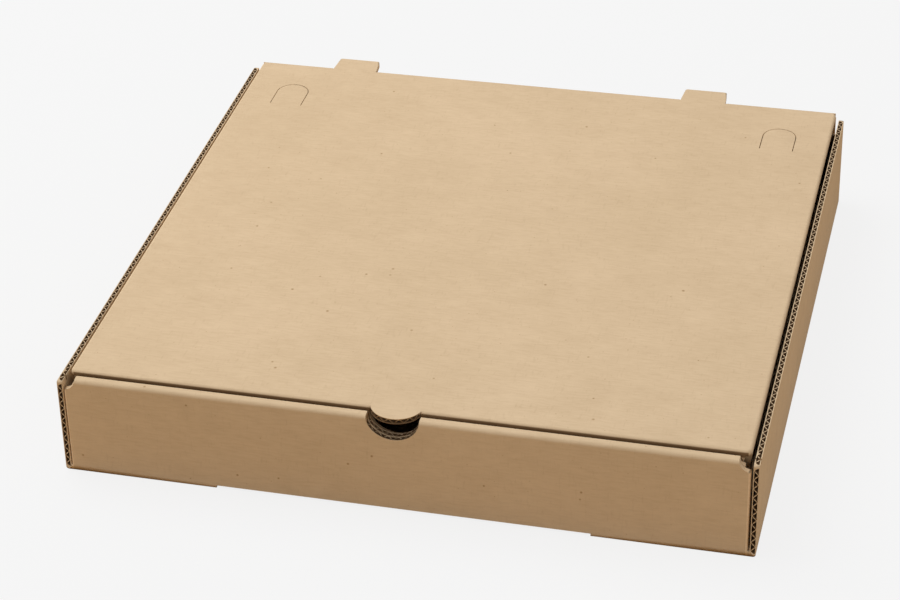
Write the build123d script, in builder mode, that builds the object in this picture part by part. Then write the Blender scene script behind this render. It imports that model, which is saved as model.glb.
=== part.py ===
"""A one-piece folded pizza box of corrugated board, closed: a tray, its hinged lid and two vent flaps.

Lengths are millimetres. +Z is up, -Y is the front and the origin is the centre of the tray's underside.
Heights are measured from the underside.
"""

import os
from math import atan2, cos, radians, sin, sqrt, tan

from build123d import *

# Board and overall sizes
board = 3.0  # caliper of the corrugated board
inside_width = 355.0  # between the side walls
side_length = 353.0  # raw front edge to rear fold of a side wall
side_height = 55.0
front_height = 56.5  # the rolled edge stands a little above the side walls
lid_height = 57.8  # top of the closed lid

# Fits between neighbouring folds
layer_gap = 0.3  # between two layers that lie against each other
back_gap = 1.0  # rear corner flaps to back wall
front_gap_left = 0.4  # ends of the front wall to the side walls
front_gap_right = 1.2
lid_gap = 2.0  # lid to each side wall
tuck_gap = 1.0  # tuck flap to front wall
ear_gap = 0.3  # rolled panel to the front ears

# Folds and cut corners
base_fold = 1.5  # outer radius of the folds round the base
roll_fold = 2.2  # outer radius of the two folds along the rolled edge
lid_fold = 1.7  # outer radius of the folds round the lid
lid_corner = 3.0
wall_fold = 1.2  # outer radius of the upright folds to the ears and the rear corner flaps
side_corner = 1.2  # front top corner of a side wall
roll_corner = 6.0  # quarter circles cut out of the rolled edge's ends

# Front wall: finger notch and the slot that takes the rolled panel's lock tab
thumb_x = -2.7  # middle of the notch and of the half-moon tab over it
notch_half_width = 13.8
notch_depth = 12.6
slot_half_length = 98.0
slot_rise = 1.4  # cut edge of the front wall above the underside

# Front ears, folded back from the front wall along the side walls
ear_length = 42.0
ear_height = 38.0
ear_slope = 5.0  # drop of an ear's top edge along its length
ear_round = 6.0

# Rear corner flaps, folded in from the side walls along the back wall
rear_flap_length = 45.0
rear_flap_height = 46.0
rear_flap_slope = 4.0
rear_flap_round = 6.0

# Lid flaps
tuck_length = 43.0
tuck_lean = 5.0  # degrees, so that the flap clears the front wall as the lid swings
tuck_taper = 12.0
tuck_round = 8.0
wing_length = 46.0  # the lid's side flaps
wing_clearance = 0.3  # wing to the top of the nearer front ear
wing_front = 3.5  # front end of a wing behind the lid's front face
wing_back = 3.0  # rear end of a wing in front of the lid's rear face
wing_shoulder = 11.0  # height of a wing's square shoulders under the lid's underside
wing_front_step = 3.3
wing_back_step = 8.0
wing_taper = 12.0
wing_round = 8.0

# Half-moon tab on the lid's front fold
moon_radius = 13.8
moon_reach = 8.8  # in front of the lid's front face
moon_kerf = 0.4

# Tabs that stand out behind the rear fold
tab_width = 26.5
tab_reach = 12.5
tab_taper = 1.0
tab_round = 1.5
tab_clearance = 0.6
left_tab_x = -117.0
right_tab_x = 97.0

# Vent flaps: U-shaped cuts, uncut at their front ends
vent_width = 18.4
vent_length = 24.8
vent_inset = 28.7  # middle of a vent flap in from the lid's side
vent_from_back = 51.0  # fold of a vent flap in front of the rear face
vent_kerf = 0.5

# Places that follow from the sizes above
half_width = inside_width / 2 + board
half_inside = inside_width / 2
depth = side_length + back_gap + board
front = -depth / 2
back = depth / 2
roll_depth = 2 * board + layer_gap
left_end = -half_inside + front_gap_left
right_end = half_inside - front_gap_right
lid_half_width = half_inside - lid_gap
lid_front = front + roll_depth + tuck_gap
lid_under = lid_height - board
moon_centre_y = lid_front - moon_reach + moon_radius
vent_x = lid_half_width - vent_inset
vent_hinge_y = back - vent_from_back
past = 1.0  # how far a cutting tool runs past the board


def outline(*points):
    """Adds a face with straight sides to the sketch in use."""
    Polygon(*points, align=None)


def end_flap(direction, length, height, slope, round_radius):
    """Outline of a corner flap from its fold at the sketch's origin, its far corners rounded."""
    low = board + layer_gap
    outline((0, low), (direction * length, low), (direction * length, height - slope), (0, height))
    fillet([v for v in vertices() if abs(v.X) > length / 2], round_radius)


def vent_outline(half_span, reach):
    """Outline of a vent flap from its fold at the sketch's origin: straight sides, then a half circle."""
    Rectangle(2 * half_span, reach - half_span, align=(Align.CENTER, Align.MIN))
    with Locations((0, reach - half_span)):
        Circle(half_span)


with BuildPart() as tray:
    # Base and side walls, one sheet folded up along both sides
    with BuildSketch(Plane.XZ.offset(-(front + side_length))):
        outline(
            (-half_width, 0),
            (half_width, 0),
            (half_width, side_height),
            (half_inside, side_height),
            (half_inside, board),
            (-half_inside, board),
            (-half_inside, side_height),
            (-half_width, side_height),
        )
        fillet([v for v in vertices() if v.Y < board / 2], base_fold)
    extrude(amount=side_length)
    fillet(edges().filter_by(Axis.X).group_by(Axis.Z)[-1].group_by(Axis.Y)[0], side_corner)

    # Back wall, folded up from the base and cut away under the lid's rear tabs
    with BuildSketch(Plane.YZ.offset(-lid_half_width)):
        base_join = back - back_gap - 2 * board
        outline(
            (base_join, 0),
            (back, 0),
            (back, lid_under),
            (back - board, lid_under),
            (back - board, board),
            (base_join, board),
        )
        fillet([v for v in vertices() if v.X > back - past and v.Y < past], base_fold)
    extrude(amount=2 * lid_half_width)
    with BuildSketch(Plane.XZ.offset(-(back + past))):
        tab_opening = tab_reach + tab_clearance + board / 2
        with Locations((left_tab_x, lid_height), (right_tab_x, lid_height)):
            Rectangle(
                tab_width + 2 * tab_clearance,
                tab_opening,
                align=(Align.CENTER, Align.MAX),
            )
    extrude(amount=board + 2 * past, mode=Mode.SUBTRACT)

    # Rear corner flaps, folded in from the side walls
    with BuildSketch(Plane.XZ.offset(-(front + side_length))):
        for side in (-1, 1):
            with BuildSketch(Plane.XY, mode=Mode.PRIVATE) as rear_flap:
                end_flap(-side, rear_flap_length, rear_flap_height, rear_flap_slope, rear_flap_round)
            with Locations((side * half_width, 0)):
                add(rear_flap.sketch)
    extrude(amount=board)

    # Outer panel of the front wall, its long slot along the base and its two ears
    with BuildSketch(Plane.XZ.offset(-(front + board))):
        outline(
            (left_end, board / 2),
            (right_end, board / 2),
            (right_end, front_height - board),
            (left_end, front_height - board),
        )
    extrude(amount=board)
    for end, inward in ((left_end, 1), (right_end, -1)):
        with BuildSketch(Plane.YZ.offset(end)):
            with BuildSketch(Plane.XY, mode=Mode.PRIVATE) as ear:
                end_flap(1, ear_length, ear_height, ear_slope, ear_round)
            with Locations((front, 0)):
                add(ear.sketch)
        extrude(amount=inward * board)
    upright = edges().filter_by(Axis.Z)
    for x, y in (
        (left_end, front),
        (right_end, front),
        (-half_width, front + side_length),
        (half_width, front + side_length),
    ):
        there = [e for e in upright if abs(e.center().X - x) + abs(e.center().Y - y) < layer_gap / 2]
        fillet(there, wall_fold)
    with BuildSketch(Plane.YZ.offset(-slot_half_length)):
        slot_back = front + roll_depth + layer_gap
        outline(
            (front - past, -past),
            (slot_back, -past),
            (slot_back, board + layer_gap),
            (front + board, board + layer_gap),
            (front + board, slot_rise),
            (front - past, slot_rise),
        )
    extrude(amount=2 * slot_half_length, mode=Mode.SUBTRACT)

    # The rolled edge: two folds along the top, then the inner panel down to its lock tab
    roll_left = left_end + board + ear_gap
    roll_right = right_end - board - ear_gap
    inner_face = front + roll_depth - board
    with BuildSketch(Plane.YZ.offset(roll_left)):
        outline(
            (front, front_height - 2 * board),
            (front, front_height),
            (front + roll_depth, front_height),
            (front + roll_depth, board + layer_gap),
            (inner_face, board + layer_gap),
            (inner_face, front_height - board),
            (front + board, front_height - board),
            (front + board, front_height - 2 * board),
        )
        fillet([v for v in vertices() if v.Y > front_height - past], roll_fold)
    extrude(amount=roll_right - roll_left)
    with BuildSketch(Plane.XZ.offset(-(front + roll_depth))):
        tab_half = slot_half_length - layer_gap
        outline(
            (-tab_half, layer_gap),
            (tab_half, layer_gap),
            (tab_half, 2 * board),
            (-tab_half, 2 * board),
        )
    extrude(amount=board)

    # Finger notch and the quarter circles at the ends of the rolled edge
    with BuildSketch(Plane.XZ.offset(-(front + roll_depth + past))):
        with Locations((thumb_x, front_height)):
            Ellipse(notch_half_width, notch_depth)
        for end, outward in ((left_end, Align.MAX), (right_end, Align.MIN)):
            with Locations((end, front_height)):
                Circle(roll_corner)
                Rectangle(2 * roll_corner, 2 * roll_corner, align=(outward, Align.CENTER), mode=Mode.SUBTRACT)
    extrude(amount=roll_depth + 2 * past, mode=Mode.SUBTRACT)
tray.part.label = "tray"


with BuildPart() as lid:
    # Lid panel, its edges rounded where the board folds down
    with BuildSketch(Plane.XY.offset(lid_under)):
        with Locations((0, (lid_front + back) / 2)):
            RectangleRounded(2 * lid_half_width, back - lid_front, lid_corner)
    extrude(amount=board)
    fillet(faces().sort_by(Axis.Z)[-1].edges(), lid_fold)

    # Tuck flap, behind the rolled edge
    lean = radians(tuck_lean)
    foot = tuck_length * cos(lean)
    with BuildSketch(Plane.YZ.offset(-lid_half_width)):
        outline(
            (lid_front, lid_under),
            (lid_front + foot * tan(lean), lid_under - foot),
            (lid_front + foot * tan(lean) + board * cos(lean), lid_under - foot + board * sin(lean)),
            (lid_front + board / cos(lean), lid_under),
            (lid_front + board / cos(lean), lid_height - board / 2),
            (lid_front + lid_fold, lid_height - board / 2),
            (lid_front + lid_fold, lid_under),
        )
    extrude(amount=2 * lid_half_width)
    with BuildSketch(Plane.XZ.offset(-(lid_front + 6 * board))):
        for side in (-1, 1):
            edge = side * (lid_half_width + past)
            outline(
                (side * (lid_half_width - lid_corner), lid_under),
                (side * (lid_half_width - tuck_taper), lid_under - foot - past),
                (edge, lid_under - foot - past),
                (edge, lid_under),
            )
    extrude(amount=6 * board + past, mode=Mode.SUBTRACT)

    tuck_corners = [e for e in edges() if e.center().Z < lid_under - foot + board and e.length < 2 * board]
    fillet(tuck_corners, tuck_round)

    # Wings: the side flaps, leaning in past the ears, with square shoulders and tapered ends
    lean = atan2(front_gap_right + board + wing_clearance - lid_gap, lid_under - ear_height)
    foot = wing_length * cos(lean)
    drift = foot * tan(lean)
    wing_low = lid_under - foot
    with BuildSketch(Plane.XZ.offset(-(back - wing_back))):
        for side in (-1, 1):
            outline(
                (side * lid_half_width, lid_under),
                (side * (lid_half_width - drift), wing_low),
                (side * (lid_half_width - drift - board * cos(lean)), wing_low + board * sin(lean)),
                (side * (lid_half_width - board / cos(lean)), lid_under),
            )
    extrude(amount=back - wing_back - lid_front - wing_front)
    with BuildSketch(Plane.YZ.offset(-lid_half_width)) as wing_ends:
        wing_y0 = lid_front + wing_front
        wing_y1 = back - wing_back
        shoulder_z = lid_under - wing_shoulder
        outline(
            (wing_y0 - past, lid_under - board),
            (wing_y0, lid_under - board),
            (wing_y0 + wing_front_step, shoulder_z),
            (wing_y0 + wing_front_step + wing_taper, wing_low - past),
            (wing_y0 - past, wing_low - past),
        )
        outline(
            (wing_y1 + past, lid_under - board),
            (wing_y1, lid_under - board),
            (wing_y1 - wing_back_step, shoulder_z),
            (wing_y1 - wing_back_step - wing_taper, wing_low - past),
            (wing_y1 + past, wing_low - past),
        )
    for wing_x in (-lid_half_width - past, lid_half_width - drift - 2 * board):
        with BuildSketch(Plane.YZ.offset(wing_x)):
            add(wing_ends.sketch_local)
        extrude(amount=drift + 2 * board + past, mode=Mode.SUBTRACT)
    wing_corners = [e for e in edges() if e.center().Z < wing_low + board and e.length < 2 * board]
    fillet([e for e in wing_corners if abs(e.center().X) > lid_half_width - drift - board], wing_round)

    # Half-moon tab: cut free of the tuck flap up to the front fold, it stays in the plane of the lid and
    # leaves a half-round opening under it
    moon_half = sqrt(moon_radius**2 - (moon_radius - moon_reach) ** 2)
    with BuildSketch(Plane.XZ.offset(-(lid_front + lid_fold))):
        with Locations((thumb_x, lid_height)):
            Rectangle(2 * (moon_half + moon_kerf), board + lid_fold, align=(Align.CENTER, Align.MAX))
    extrude(amount=lid_fold + past, mode=Mode.SUBTRACT)
    with BuildSketch(Plane.XZ.offset(-(lid_front + 3 * board))):
        with Locations((thumb_x, lid_under)):
            Circle(moon_radius + moon_kerf)
            Rectangle(3 * moon_radius, 3 * moon_radius, align=(Align.CENTER, Align.MIN), mode=Mode.SUBTRACT)
    extrude(amount=3 * board + past, mode=Mode.SUBTRACT)
    with BuildSketch(Plane.XY.offset(lid_under)):
        with Locations((thumb_x, moon_centre_y)):
            Circle(moon_radius)
        with Locations((thumb_x, lid_front + lid_fold)):
            Rectangle(3 * moon_radius, 3 * moon_radius, align=(Align.CENTER, Align.MIN), mode=Mode.SUBTRACT)
        with Locations((thumb_x, lid_front)):
            Rectangle(2 * moon_half, lid_fold, align=(Align.CENTER, Align.MIN))
    extrude(amount=board)

    # Rear tabs, cut out of the back wall
    with BuildSketch(Plane.XY.offset(lid_under)):
        for tab_x in (left_tab_x, right_tab_x):
            outline(
                (tab_x - tab_width / 2, back - lid_fold - past),
                (tab_x + tab_width / 2, back - lid_fold - past),
                (tab_x + tab_width / 2, back),
                (tab_x + tab_width / 2 - tab_taper, back + tab_reach),
                (tab_x - tab_width / 2 + tab_taper, back + tab_reach),
                (tab_x - tab_width / 2, back),
            )
        fillet([v for v in vertices() if v.Y > back + past], tab_round)
    extrude(amount=board)

    # Openings of the two vent flaps
    with BuildSketch(Plane.XY) as vent_openings:
        vent_outline(vent_width / 2 + vent_kerf, vent_length + vent_kerf)
    with BuildSketch(Plane.XY.offset(lid_under)):
        with Locations((-vent_x, vent_hinge_y), (vent_x, vent_hinge_y)):
            add(vent_openings.sketch_local)
    extrude(amount=board, mode=Mode.SUBTRACT)
lid.part.label = "lid"


def vent_flap(x):
    """One vent flap, lying closed in its opening in the lid."""
    with BuildPart() as flap:
        with BuildSketch(Plane((x, vent_hinge_y, lid_under))):
            vent_outline(vent_width / 2, vent_length)
        extrude(amount=board)
    return flap


with BuildPart() as vent_flap_left:
    add(vent_flap(-vent_x).part)
vent_flap_left.part.label = "vent_flap_left"

with BuildPart() as vent_flap_right:
    add(vent_flap(vent_x).part)
vent_flap_right.part.label = "vent_flap_right"


os.makedirs("parts", exist_ok=True)
for piece in (tray, lid, vent_flap_left, vent_flap_right):
    export_step(piece.part, f"parts/{piece.part.label}.step")
    box = piece.part.bounding_box()
    print(f"{piece.part.label}: {len(piece.part.solids())} solid, {piece.part.volume:.0f} mm3, {box}")
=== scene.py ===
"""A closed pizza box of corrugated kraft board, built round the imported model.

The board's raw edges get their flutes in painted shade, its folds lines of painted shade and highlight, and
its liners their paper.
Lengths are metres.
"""

from math import cos, radians, sin

import bmesh
import bpy
from mathutils import Matrix, Vector


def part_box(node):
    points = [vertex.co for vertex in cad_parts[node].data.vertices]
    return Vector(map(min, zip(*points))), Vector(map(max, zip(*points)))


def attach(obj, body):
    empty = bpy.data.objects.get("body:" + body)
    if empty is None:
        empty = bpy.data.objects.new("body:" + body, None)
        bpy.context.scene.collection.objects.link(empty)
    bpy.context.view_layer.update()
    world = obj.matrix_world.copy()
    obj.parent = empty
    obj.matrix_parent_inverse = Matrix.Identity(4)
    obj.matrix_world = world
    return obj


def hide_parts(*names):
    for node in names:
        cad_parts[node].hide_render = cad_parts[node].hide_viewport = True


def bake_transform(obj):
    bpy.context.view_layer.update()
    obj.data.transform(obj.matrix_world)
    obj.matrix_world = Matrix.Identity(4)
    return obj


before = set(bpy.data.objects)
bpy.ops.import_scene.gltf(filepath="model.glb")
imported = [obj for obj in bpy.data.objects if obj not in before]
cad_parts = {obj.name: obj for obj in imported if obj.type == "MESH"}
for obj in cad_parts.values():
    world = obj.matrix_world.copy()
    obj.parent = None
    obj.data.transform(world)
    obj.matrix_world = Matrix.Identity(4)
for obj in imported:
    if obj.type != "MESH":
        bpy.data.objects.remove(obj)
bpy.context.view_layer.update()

# The box: from the sizes of the parts
tray_low, tray_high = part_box("tray")
lid_low, lid_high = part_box("lid")
BOARD = 0.003  # caliper
HALF_WIDTH = tray_high.x
FRONT = tray_low.y
BACK = tray_high.y
LID_TOP = lid_high.z
LID_UNDER = LID_TOP - BOARD
LID_HALF = lid_high.x
LID_MIDDLE = LID_TOP - BOARD / 2
LID_FOLD = 0.0017  # outer radius of the folds round the lid
WALL_MIDDLE = HALF_WIDTH - BOARD / 2
SIDE_TOP = 0.055
SIDE_END = FRONT + 0.353  # rear fold of the side walls
ROLL_TOP = tray_high.z
ROLL_DEPTH = 0.0063  # two layers of board and the gap between them
ROLL_BACK = FRONT + ROLL_DEPTH
LEFT_END = -HALF_WIDTH + BOARD + 0.0004  # ends of the front wall
RIGHT_END = HALF_WIDTH - BOARD - 0.0012
LID_FRONT = ROLL_BACK + 0.001

# Cut-outs and flaps
THUMB_X = -0.0027  # middle of the finger notch and of the half-moon tab over it
NOTCH_HALF = 0.0138
NOTCH_DEPTH = 0.0126
MOON_RADIUS = 0.0138
MOON_Y = LID_FRONT - 0.0088 + MOON_RADIUS
TUCK_LENGTH, TUCK_LEAN = 0.043, radians(5)
WING_LENGTH, WING_LEAN = 0.046, radians(8.46)
REAR_FLAP_LENGTH = 0.045
EAR_LENGTH = 0.042
TAB_X = (-0.117, 0.097)
TAB_HALF = 0.01325
TAB_END = lid_high.y
WINDOW_HALF = 0.01385
WINDOW_LOW = LID_TOP - 0.0146

# Corrugated board: two liners with a wave between them
PITCH = 0.0055
LINER = 0.00042
FLUTE_DEPTH = 0.009
CRUSHED_DEPTH = 0.0008  # flutes of the notch's inner layer, pressed nearly shut
CORNER_DEPTH = 0.0015  # flutes beside a front top corner, where those of the other edge run behind them
CORNER_END = FRONT + 0.0105
OVERSHOOT = 0.0025  # how far a prism stands out of the edge
MOUTH_WIDTH = 0.97  # of half a pitch, the rest being the wave's own thickness
# Outline of one opening: along the edge in half pitches, and across the board from wave to liner
MOUTH = ((-0.93, 1.0), (-0.5, 0.3), (-0.2, -0.6), (0.0, -0.76), (0.2, -0.6), (0.5, 0.3), (0.93, 1.0))


def flute_mouths(bm, path, inward, normal, depth=FLUTE_DEPTH):
    """Adds a prism for each opening between the liners and the wave, along a raw edge of the board.

    path is a list of points on the board's middle plane. inward is a direction into the board, or a function
    of a point that gives one. normal is the direction across the board's thickness.
    """
    across = Vector(normal)
    half = BOARD / 2 - LINER
    lengths = [(b - a).length for a, b in zip(path, path[1:])]
    total = sum(lengths)
    count = max(1, round(2 * total / PITCH))
    step = total / count

    def at(distance):
        distance = min(max(distance, 0.0), total)
        for a, b, length in zip(path, path[1:], lengths):
            if distance <= length:
                return a.lerp(b, distance / length)
            distance -= length
        return path[-1]

    for i in range(count):
        side = 1 if i % 2 == 0 else -1
        rings = []
        for reach in (-OVERSHOOT, depth):
            ring = []
            for u, v in MOUTH:
                foot = at((i + 0.5 + u * MOUTH_WIDTH) * step)
                into = inward(foot) if callable(inward) else Vector(inward)
                ring.append(bm.verts.new(foot + into * reach + across * (side * v * half)))
            rings.append(ring)
        outer, inner = rings
        for k in range(len(MOUTH)):
            m = (k + 1) % len(MOUTH)
            bm.faces.new((outer[k], outer[m], inner[m], inner[k]))
        bm.faces.new(tuple(reversed(outer)))
        bm.faces.new(tuple(inner))


def arc(centre, first, second, start, end, steps=40):
    """Points round a centre, from angle start to angle end in degrees, along the two given half axes."""
    angles = [radians(start + (end - start) * k / steps) for k in range(steps + 1)]
    return [Vector(centre) + Vector(first) * cos(a) + Vector(second) * sin(a) for a in angles]


def line(*points):
    """A path through the given points."""
    return [Vector(p) for p in points]


def copy_node(node, name, material):
    """A copy of a CAD node's mesh, in a new object with a board material and that of the flutes."""
    bm = bmesh.new()
    bm.from_mesh(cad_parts[node].data)
    bmesh.ops.remove_doubles(bm, verts=bm.verts, dist=1e-6)
    mesh = bpy.data.meshes.new(name)
    bm.to_mesh(mesh)
    bm.free()
    for each in (material, shaded_flute_material):
        mesh.materials.append(each)
    piece = bpy.data.objects.new(name, mesh)
    bpy.context.scene.collection.objects.link(piece)
    return piece


def carve(piece, bm):
    """Cuts the prisms in bm out of the piece. The walls of the cuts take the flute material, with its
    painted shade.
    """
    bmesh.ops.recalc_face_normals(bm, faces=bm.faces)
    mesh = bpy.data.meshes.new("cutter")
    bm.to_mesh(mesh)
    bm.free()
    for each in piece.data.materials:
        mesh.materials.append(each)
    mesh.polygons.foreach_set("material_index", [1] * len(mesh.polygons))
    cutter = bpy.data.objects.new("cutter", mesh)
    bpy.context.scene.collection.objects.link(cutter)
    cut = piece.modifiers.new("flutes", "BOOLEAN")
    cut.operation = "DIFFERENCE"
    cut.solver = "MANIFOLD"
    cut.object = cutter
    bpy.context.view_layer.update()
    depsgraph = bpy.context.evaluated_depsgraph_get()
    carved = bpy.data.meshes.new_from_object(piece.evaluated_get(depsgraph))
    piece.modifiers.clear()
    piece.data = carved
    bpy.data.objects.remove(cutter)
    bpy.data.meshes.remove(mesh)


class Nodes:
    """Short calls for building one material's nodes."""

    def __init__(self, name):
        self.material = bpy.data.materials.new(name)
        self.material.use_nodes = True
        self.tree = self.material.node_tree
        self.shader = self.tree.nodes["Principled BSDF"]
        self.place = self.tree.nodes.new("ShaderNodeTexCoord").outputs["Object"]

    def new(self, kind, **values):
        node = self.tree.nodes.new(kind)
        for name, value in values.items():
            setattr(node, name, value)
        return node

    def link(self, source, target):
        self.tree.links.new(source, target)

    def placed(self, stretch, turn=(0, 0, 0)):
        mapping = self.new("ShaderNodeMapping")
        mapping.inputs["Scale"].default_value = stretch
        mapping.inputs["Rotation"].default_value = turn
        self.link(self.place, mapping.inputs["Vector"])
        return mapping.outputs["Vector"]

    def noise(self, stretch, detail=4.0, roughness=0.55, turn=(0, 0, 0)):
        texture = self.new("ShaderNodeTexNoise")
        texture.inputs["Scale"].default_value = 1.0
        texture.inputs["Detail"].default_value = detail
        texture.inputs["Roughness"].default_value = roughness
        self.link(self.placed(stretch, turn), texture.inputs["Vector"])
        return texture.outputs["Fac"]

    def ramp(self, value, *stops):
        node = self.new("ShaderNodeValToRGB")
        while len(node.color_ramp.elements) < len(stops):
            node.color_ramp.elements.new(0.5)
        for element, (position, colour) in zip(node.color_ramp.elements, stops):
            element.position = position
            element.color = (*colour, 1)
        self.link(value, node.inputs["Fac"])
        return node.outputs["Color"]

    def times(self, a, b):
        """One colour multiplied by another."""
        node = self.new("ShaderNodeMix", data_type="RGBA", blend_type="MULTIPLY")
        node.inputs["Factor"].default_value = 1.0
        self.link(a, node.inputs[6])
        self.link(b, node.inputs[7])
        return node.outputs[2]

    def specks(self, size, radius, colour):
        """Scattered dots: one to a cell of the given size, with radii up to the given one."""
        cells = self.new("ShaderNodeTexVoronoi")
        cells.inputs["Scale"].default_value = 1 / size
        self.link(self.place, cells.inputs["Vector"])
        split = self.new("ShaderNodeSeparateColor")
        self.link(cells.outputs["Color"], split.inputs["Color"])
        reach = self.new("ShaderNodeMath", operation="MULTIPLY")
        self.link(split.outputs[0], reach.inputs[0])
        reach.inputs[1].default_value = 2 * radius / size
        inside = self.new("ShaderNodeMath", operation="DIVIDE")
        self.link(cells.outputs["Distance"], inside.inputs[0])
        self.link(reach.outputs[0], inside.inputs[1])
        return self.ramp(inside.outputs[0], (0.35, colour), (1.0, grey(1)))

    def along(self, axis, jag=0.0, tooth=0.0017):
        """A coordinate of the piece, made uneven by up to jag, in teeth that follow each other along X."""
        split = self.new("ShaderNodeSeparateXYZ")
        self.link(self.place, split.inputs[0])
        value = split.outputs["XYZ".index(axis)]
        if jag:
            uneven = self.new("ShaderNodeMath", operation="MULTIPLY_ADD")
            self.link(self.noise((1 / tooth, 0, 0), detail=1.0), uneven.inputs[0])
            uneven.inputs[1].default_value = 2 * jag
            self.link(value, uneven.inputs[2])
            value = uneven.outputs[0]
        return value

    def within(self, axis, low, high, soft=0.0002, jag=0.0):
        """1 between two places along an axis and 0 outside them, with soft borders."""
        value = self.along(axis, jag)
        low, high = low + jag, high + jag
        ends = []
        for edge, start, end in ((low, 0, 1), (high, 1, 0)):
            step = self.new("ShaderNodeMapRange", interpolation_type="SMOOTHSTEP")
            self.link(value, step.inputs["Value"])
            step.inputs["From Min"].default_value = edge - soft
            step.inputs["From Max"].default_value = edge + soft
            step.inputs["To Min"].default_value = start
            step.inputs["To Max"].default_value = end
            ends.append(step.outputs[0])
        return self.both(*ends)

    def both(self, a, b):
        node = self.new("ShaderNodeMath", operation="MULTIPLY")
        self.link(a, node.inputs[0])
        self.link(b, node.inputs[1])
        return node.outputs[0]

    def tint(self, colour, share, tone):
        """The colour, multiplied by a tone where share is 1."""
        node = self.new("ShaderNodeMix", data_type="RGBA", blend_type="MULTIPLY")
        self.link(share, node.inputs["Factor"])
        self.link(colour, node.inputs[6])
        node.inputs[7].default_value = (*tone, 1)
        return node.outputs[2]

    def bump(self, height, strength, distance):
        node = self.new("ShaderNodeBump")
        node.inputs["Strength"].default_value = strength
        node.inputs["Distance"].default_value = distance
        self.link(height, node.inputs["Height"])
        self.link(node.outputs["Normal"], self.shader.inputs["Normal"])


def grey(value):
    return (value, value, value)


DARK_KRAFT = (0.672, 0.498, 0.312)
PALE_KRAFT = (0.712, 0.530, 0.338)


def make_board(name, *marks):
    """Brown kraft liner: faint blotches, short fibres along the sheet, scattered specks and given marks.

    A mark is a tone, followed by the limits along the axes between which it lies.
    """
    kraft = Nodes(name)
    kraft.shader.inputs["Roughness"].default_value = 0.85
    kraft.shader.inputs["Specular IOR Level"].default_value = 0.2
    blotches = kraft.ramp(kraft.noise((14, 14, 14), detail=3.0), (0.3, DARK_KRAFT), (0.7, PALE_KRAFT))
    clouds = kraft.ramp(
        kraft.noise((55, 95, 95), detail=6.0, roughness=0.65),
        (0.3, (0.965, 0.958, 0.95)),
        (0.7, (1.03, 1.035, 1.04)),
    )
    fibres = kraft.ramp(
        kraft.noise((130, 850, 850), detail=4.0, roughness=0.6),
        (0.32, (0.955, 0.945, 0.93)),
        (0.5, grey(1)),
        (0.72, (1.035, 1.04, 1.05)),
    )
    crossed = kraft.ramp(
        kraft.noise((800, 160, 160), detail=3.0, turn=(0, 0, 0.5)),
        (0.28, (0.95, 0.94, 0.93)),
        (0.42, grey(1)),
    )
    dark = kraft.specks(0.012, 0.00055, (0.62, 0.52, 0.42))
    fine = kraft.specks(0.0045, 0.00026, (0.80, 0.74, 0.68))
    colour = kraft.times(kraft.times(blotches, clouds), kraft.times(fibres, crossed))
    colour = kraft.times(colour, kraft.times(dark, fine))
    for tone, first, *others in marks:
        share = kraft.within(*first)
        for limits in others:
            share = kraft.both(share, kraft.within(*limits))
        colour = kraft.tint(colour, share, tone)
    kraft.link(colour, kraft.shader.inputs["Base Color"])
    kraft.bump(kraft.noise((160, 700, 700), detail=6.0, roughness=0.6), 0.22, 0.0002)
    return kraft.material


def make_shaded_flutes():
    """Paper inside the flutes, in a much darker brown than the liners: painted shade for the hollows of the
    flutes.
    """
    paper = Nodes("kraft_flutes_painted_shade")
    paper.shader.inputs["Roughness"].default_value = 0.9
    paper.shader.inputs["Specular IOR Level"].default_value = 0.1
    grain = paper.noise((500, 500, 500))
    shades = paper.ramp(grain, (0.3, (0.15, 0.085, 0.04)), (0.7, (0.23, 0.135, 0.07)))
    paper.link(shades, paper.shader.inputs["Base Color"])
    return paper.material


# Painted shade: dark lines in the gap behind the rolled edge and under the lid's front fold. Painted
# highlights:
# pale lines on the front wall's end folds and the lid's left edge.
PAINTED_SHADE = (0.34, 0.27, 0.20)
PAINTED_HIGHLIGHT = (1.28, 1.30, 1.34)
PAST = 0.001  # how far a mark's limits run past the board
front_face = ("Y", FRONT - PAST, FRONT + 0.0012)
below_roll = ("Z", 0.0, 0.050)
tray_material = make_board(
    "kraft_tray",
    (
        # painted shade in the gap behind the rolled edge, its lower border uneven
        PAINTED_SHADE,
        ("Y", ROLL_BACK - 0.0011, ROLL_BACK + 0.0004, 0.0001, 0.0013),
        ("Z", ROLL_TOP - 0.004, ROLL_TOP + PAST),
    ),
    # painted highlights on the front wall's end folds
    (PAINTED_HIGHLIGHT, ("X", LEFT_END - 0.0002, LEFT_END + 0.0010), front_face, below_roll),
    (PAINTED_HIGHLIGHT, ("X", RIGHT_END - 0.0010, RIGHT_END + 0.0002), front_face, below_roll),
)
lid_material = make_board(
    "kraft_lid",
    (
        # painted shade on the lid's front fold, under the rolled edge
        PAINTED_SHADE,
        ("Y", LID_FRONT - 0.02, LID_FRONT + 0.0004),
        ("Z", LID_UNDER - PAST, LID_TOP - 0.0010, 0.0003),
    ),
    # painted highlight along the lid's left edge
    (PAINTED_HIGHLIGHT, ("X", -LID_HALF - PAST, -LID_HALF + 0.0009), ("Z", LID_TOP - 0.0014, LID_TOP + PAST)),
)
plain_material = make_board("kraft_board")
# Flute paper, darkened with painted shade
shaded_flute_material = make_shaded_flutes()

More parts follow.
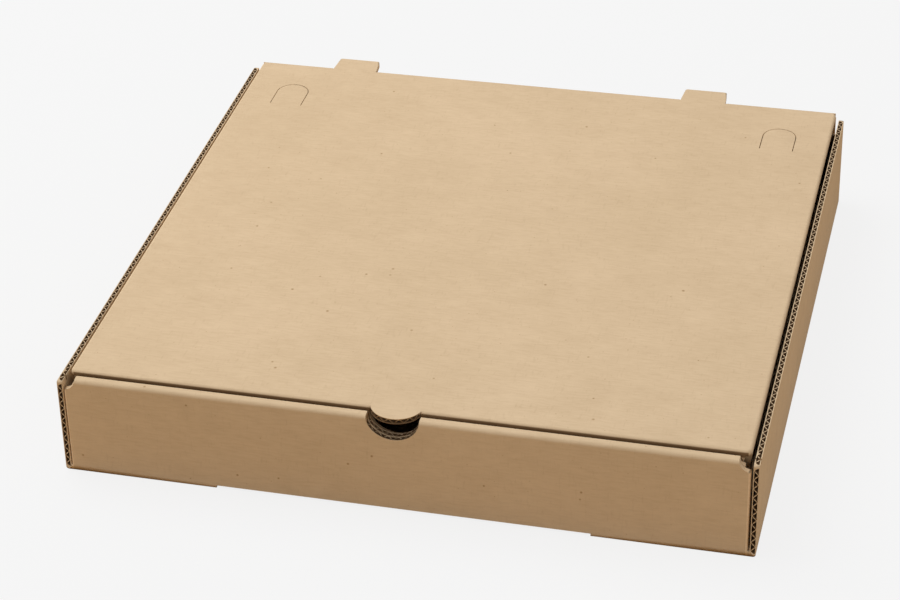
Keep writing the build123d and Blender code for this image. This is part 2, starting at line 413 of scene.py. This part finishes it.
# Tray
tray = copy_node("tray", "tray_board", tray_material)
mouths = bmesh.new()
DOWN, BACKWARD, ALONG_X, ALONG_Y, ALONG_Z = (0, 0, -1), (0, 1, 0), (1, 0, 0), (0, 1, 0), (0, 0, 1)
for side, wall_end in ((-1, LEFT_END + BOARD / 2), (1, RIGHT_END - BOARD / 2)):
    # Top and front edges of the side wall
    x = side * WALL_MIDDLE
    corner = line((x, FRONT + 0.0012, SIDE_TOP), (x, CORNER_END, SIDE_TOP))
    flute_mouths(mouths, corner, DOWN, ALONG_X, CORNER_DEPTH)
    flute_mouths(mouths, line((x, CORNER_END, SIDE_TOP), (x, SIDE_END - 0.001, SIDE_TOP)), DOWN, ALONG_X)
    flute_mouths(mouths, line((x, FRONT, 0.002), (x, FRONT, SIDE_TOP - 0.0016)), BACKWARD, ALONG_X)
    # Free ends of the rear corner flap and of the front ear, between their rounded corners
    x, y = side * (HALF_WIDTH - REAR_FLAP_LENGTH), SIDE_END - BOARD / 2
    flute_mouths(mouths, line((x, y, 0.0105), (x, y, 0.0350)), (side, 0, 0), ALONG_Y)
    x, y = wall_end, FRONT + EAR_LENGTH
    flute_mouths(mouths, line((x, y, 0.0105), (x, y, 0.0260)), (0, -1, 0), ALONG_X)
for layer, depth in ((FRONT + BOARD / 2, FLUTE_DEPTH), (ROLL_BACK - BOARD / 2, CRUSHED_DEPTH)):
    notch_middle = Vector((THUMB_X, layer, ROLL_TOP))
    flute_mouths(
        mouths,
        arc(notch_middle, (NOTCH_HALF, 0, 0), (0, 0, NOTCH_DEPTH), 196, 344),
        lambda p: (p - notch_middle).normalized(),
        ALONG_Y,
        depth,
    )
for x in TAB_X:
    # Sill of the window in the back wall
    y, half = BACK - BOARD / 2, WINDOW_HALF - 0.001
    flute_mouths(mouths, line((x - half, y, WINDOW_LOW), (x + half, y, WINDOW_LOW)), DOWN, ALONG_Y)
carve(tray, mouths)

# Lid
lid = copy_node("lid", "lid_board", lid_material)
mouths = bmesh.new()
moon_middle = Vector((THUMB_X, MOON_Y, LID_MIDDLE))
flute_mouths(
    mouths,
    arc(moon_middle, (MOON_RADIUS, 0, 0), (0, MOON_RADIUS, 0), 203, 337),
    lambda p: (moon_middle - p).normalized(),
    ALONG_Z,
)
for x in TAB_X:
    half = TAB_HALF - 0.002
    flute_mouths(
        mouths, line((x - half, TAB_END, LID_MIDDLE), (x + half, TAB_END, LID_MIDDLE)), (0, -1, 0), ALONG_Z
    )

# Lower edges of the tuck flap and the wings, between their rounded corners
along, across = sin(TUCK_LEAN), cos(TUCK_LEAN)
y = LID_FRONT + TUCK_LENGTH * along + BOARD / 2 * across
z = LID_UNDER - TUCK_LENGTH * across + BOARD / 2 * along
flute_mouths(mouths, line((-0.152, y, z), (0.152, y, z)), (0, -along, across), (0, across, along))
along, across = sin(WING_LEAN), cos(WING_LEAN)
z = LID_UNDER - WING_LENGTH * across + BOARD / 2 * along
for side in (-1, 1):
    x = side * (LID_HALF - WING_LENGTH * along - BOARD / 2 * across)
    ends = line((x, LID_FRONT + 0.030, z), (x, BACK - 0.034, z))
    flute_mouths(mouths, ends, (side * along, 0, across), (across, 0, -side * along))
carve(lid, mouths)

vent_left = copy_node("vent_flap_left", "vent_board_left", plain_material)
vent_right = copy_node("vent_flap_right", "vent_board_right", plain_material)

for piece, node in (
    (tray, "tray"),
    (lid, "lid"),
    (vent_left, "vent_flap_left"),
    (vent_right, "vent_flap_right"),
):
    piece.data.shade_smooth()
    piece.data.set_sharp_from_angle(angle=radians(35))
    weighted = piece.modifiers.new("weighted_normals", "WEIGHTED_NORMAL")
    weighted.keep_sharp = True
    weighted.weight = 100
    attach(piece, node)
    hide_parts(node)

# The crease along the rear fold: strips of outer liner between the windows, each bending between the back
# wall and the lid. They run up the wall's outer face and partly round the lid's fold.
CREASE = 0.00012  # how far the strips stand off the board
SUNK_Y, SUNK_Z = 0.0004, 0.0003  # how far their inner faces lie inside it
fold_y, fold_z = BACK - LID_FOLD, LID_TOP - LID_FOLD
face = BACK + CREASE
crease_path = [(face, 0.0495), (face, 0.0522), (face, LID_UNDER), (face, fold_z)]
for degree in range(10, 70, 10):
    turn, radius = radians(degree), LID_FOLD + CREASE
    crease_path.append((fold_y + radius * cos(turn), fold_z + radius * sin(turn)))
stops = [-LID_HALF + 0.0003]
for x in TAB_X:
    stops += [x - WINDOW_HALF - 0.00005, x + WINDOW_HALF + 0.00005]
stops.append(LID_HALF - 0.0003)
for number, (start, end) in enumerate(zip(stops[::2], stops[1::2])):
    bm = bmesh.new()
    steps = max(4, round((end - start) / 0.01))
    rows = []
    for k in range(steps + 1):
        x = start + (end - start) * k / steps
        outer = [bm.verts.new((x, y, z)) for y, z in crease_path]
        inner = [
            bm.verts.new((x, y - SUNK_Y, z - (SUNK_Z if z > fold_z + 0.0001 else 0))) for y, z in crease_path
        ]
        rows.append(outer + inner[::-1])
    for a, b in zip(rows, rows[1:]):
        for k in range(len(a)):
            m = (k + 1) % len(a)
            bm.faces.new((a[k], a[m], b[m], b[k]))
    bm.faces.new(rows[0][::-1])
    bm.faces.new(rows[-1])
    bmesh.ops.recalc_face_normals(bm, faces=bm.faces)
    mesh = bpy.data.meshes.new(f"rear_crease_{number + 1}")
    bm.to_mesh(mesh)
    bm.free()
    mesh.materials.append(plain_material)
    mesh.shade_smooth()
    mesh.set_sharp_from_angle(angle=radians(50))
    crease = bpy.data.objects.new(mesh.name, mesh)
    bpy.context.scene.collection.objects.link(crease)
    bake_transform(crease)

# Floor: pale where it is seen, while it throws less and warmer light back at the box
PALE = 0.922
floor_mesh = bpy.data.meshes.new("floor")
REACH = 9
corners = [(-REACH, -REACH, 0), (REACH, -REACH, 0), (REACH, REACH, 0), (-REACH, REACH, 0)]
floor_mesh.from_pydata(corners, [], [(0, 1, 2, 3)])
floor = bpy.data.objects.new("floor", floor_mesh)
bpy.context.scene.collection.objects.link(floor)


def seen_rays(nodes, links):
    """1 for camera, glossy and transmission rays, else 0."""
    rays = nodes.new("ShaderNodeLightPath")
    first = nodes.new("ShaderNodeMath")
    second = nodes.new("ShaderNodeMath")
    first.operation = second.operation = "MAXIMUM"
    links.new(rays.outputs["Is Camera Ray"], first.inputs[0])
    links.new(rays.outputs["Is Glossy Ray"], first.inputs[1])
    links.new(first.outputs[0], second.inputs[0])
    links.new(rays.outputs["Is Transmission Ray"], second.inputs[1])
    return second.outputs[0]


floor_material = bpy.data.materials.new("floor")
floor_material.use_nodes = True
nodes, links = floor_material.node_tree.nodes, floor_material.node_tree.links
nodes.remove(nodes["Principled BSDF"])
surface = nodes.new("ShaderNodeBsdfDiffuse")
surface.inputs["Color"].default_value = (PALE, PALE, PALE, 1)
glow = nodes.new("ShaderNodeEmission")
glow.inputs["Color"].default_value = (PALE, PALE, PALE, 1)
seen = nodes.new("ShaderNodeMixShader")
seen.inputs[0].default_value = 0.9  # the rest is lit by the lamp and keeps the box's shadow
links.new(surface.outputs[0], seen.inputs[1])
links.new(glow.outputs[0], seen.inputs[2])
bounce = nodes.new("ShaderNodeBsdfDiffuse")
bounce.inputs["Color"].default_value = (0.49, 0.29, 0.085, 1)
either = nodes.new("ShaderNodeMixShader")
links.new(seen_rays(nodes, links), either.inputs[0])
links.new(bounce.outputs[0], either.inputs[1])
links.new(seen.outputs[0], either.inputs[2])
links.new(either.outputs[0], nodes["Material Output"].inputs["Surface"])
floor_mesh.materials.append(floor_material)

# Soft light from all round, and a wide lamp high over the box
scene = bpy.context.scene
world = bpy.data.worlds.new("studio")
scene.world = world
world.use_nodes = True
nodes, links = world.node_tree.nodes, world.node_tree.links
sky = nodes["Background"]
sky.inputs["Color"].default_value = (1, 1, 1, 1)
sky.inputs["Strength"].default_value = 0.60
backdrop = nodes.new("ShaderNodeBackground")
backdrop.inputs["Color"].default_value = (PALE, PALE, PALE, 1)
backdrop.inputs["Strength"].default_value = 1.0
either = nodes.new("ShaderNodeMixShader")
links.new(seen_rays(nodes, links), either.inputs[0])
links.new(sky.outputs[0], either.inputs[1])
links.new(backdrop.outputs[0], either.inputs[2])
links.new(either.outputs[0], nodes["World Output"].inputs["Surface"])

lamp_data = bpy.data.lights.new("lamp", "AREA")
lamp_data.shape = "DISK"
lamp_data.size = 1.6
lamp_data.energy = 18.6
lamp = bpy.data.objects.new("lamp", lamp_data)
lamp.location = (-0.9, 0.35, 1.7)
lamp.rotation_euler = (-lamp.location).to_track_quat("-Z", "Y").to_euler()
scene.collection.objects.link(lamp)

# Camera: its angles and place were fitted to the box's edges in the photo
PITCH_DOWN, ROLL, YAW = radians(32.274), radians(-2.688), radians(16.541)
camera_data = bpy.data.cameras.new("camera")
camera_data.sensor_width = 36.0
camera_data.lens = 110.2
camera_data.shift_x = 0.1128
camera_data.clip_end = 50
camera = bpy.data.objects.new("camera", camera_data)
forward = Vector((-sin(YAW) * cos(PITCH_DOWN), cos(YAW) * cos(PITCH_DOWN), -sin(PITCH_DOWN)))
level = Vector((cos(YAW), sin(YAW), 0))
upright = level.cross(forward)
right = level * cos(ROLL) + upright * sin(ROLL)
up = upright * cos(ROLL) - level * sin(ROLL)
camera.rotation_euler = Matrix((right, up, -forward)).transposed().to_euler()
camera.location = (0.3002, -1.2641, 0.8396)
scene.collection.objects.link(camera)
scene.camera = camera
scene.view_settings.view_transform = "Standard"

bpy.context.view_layer.update()
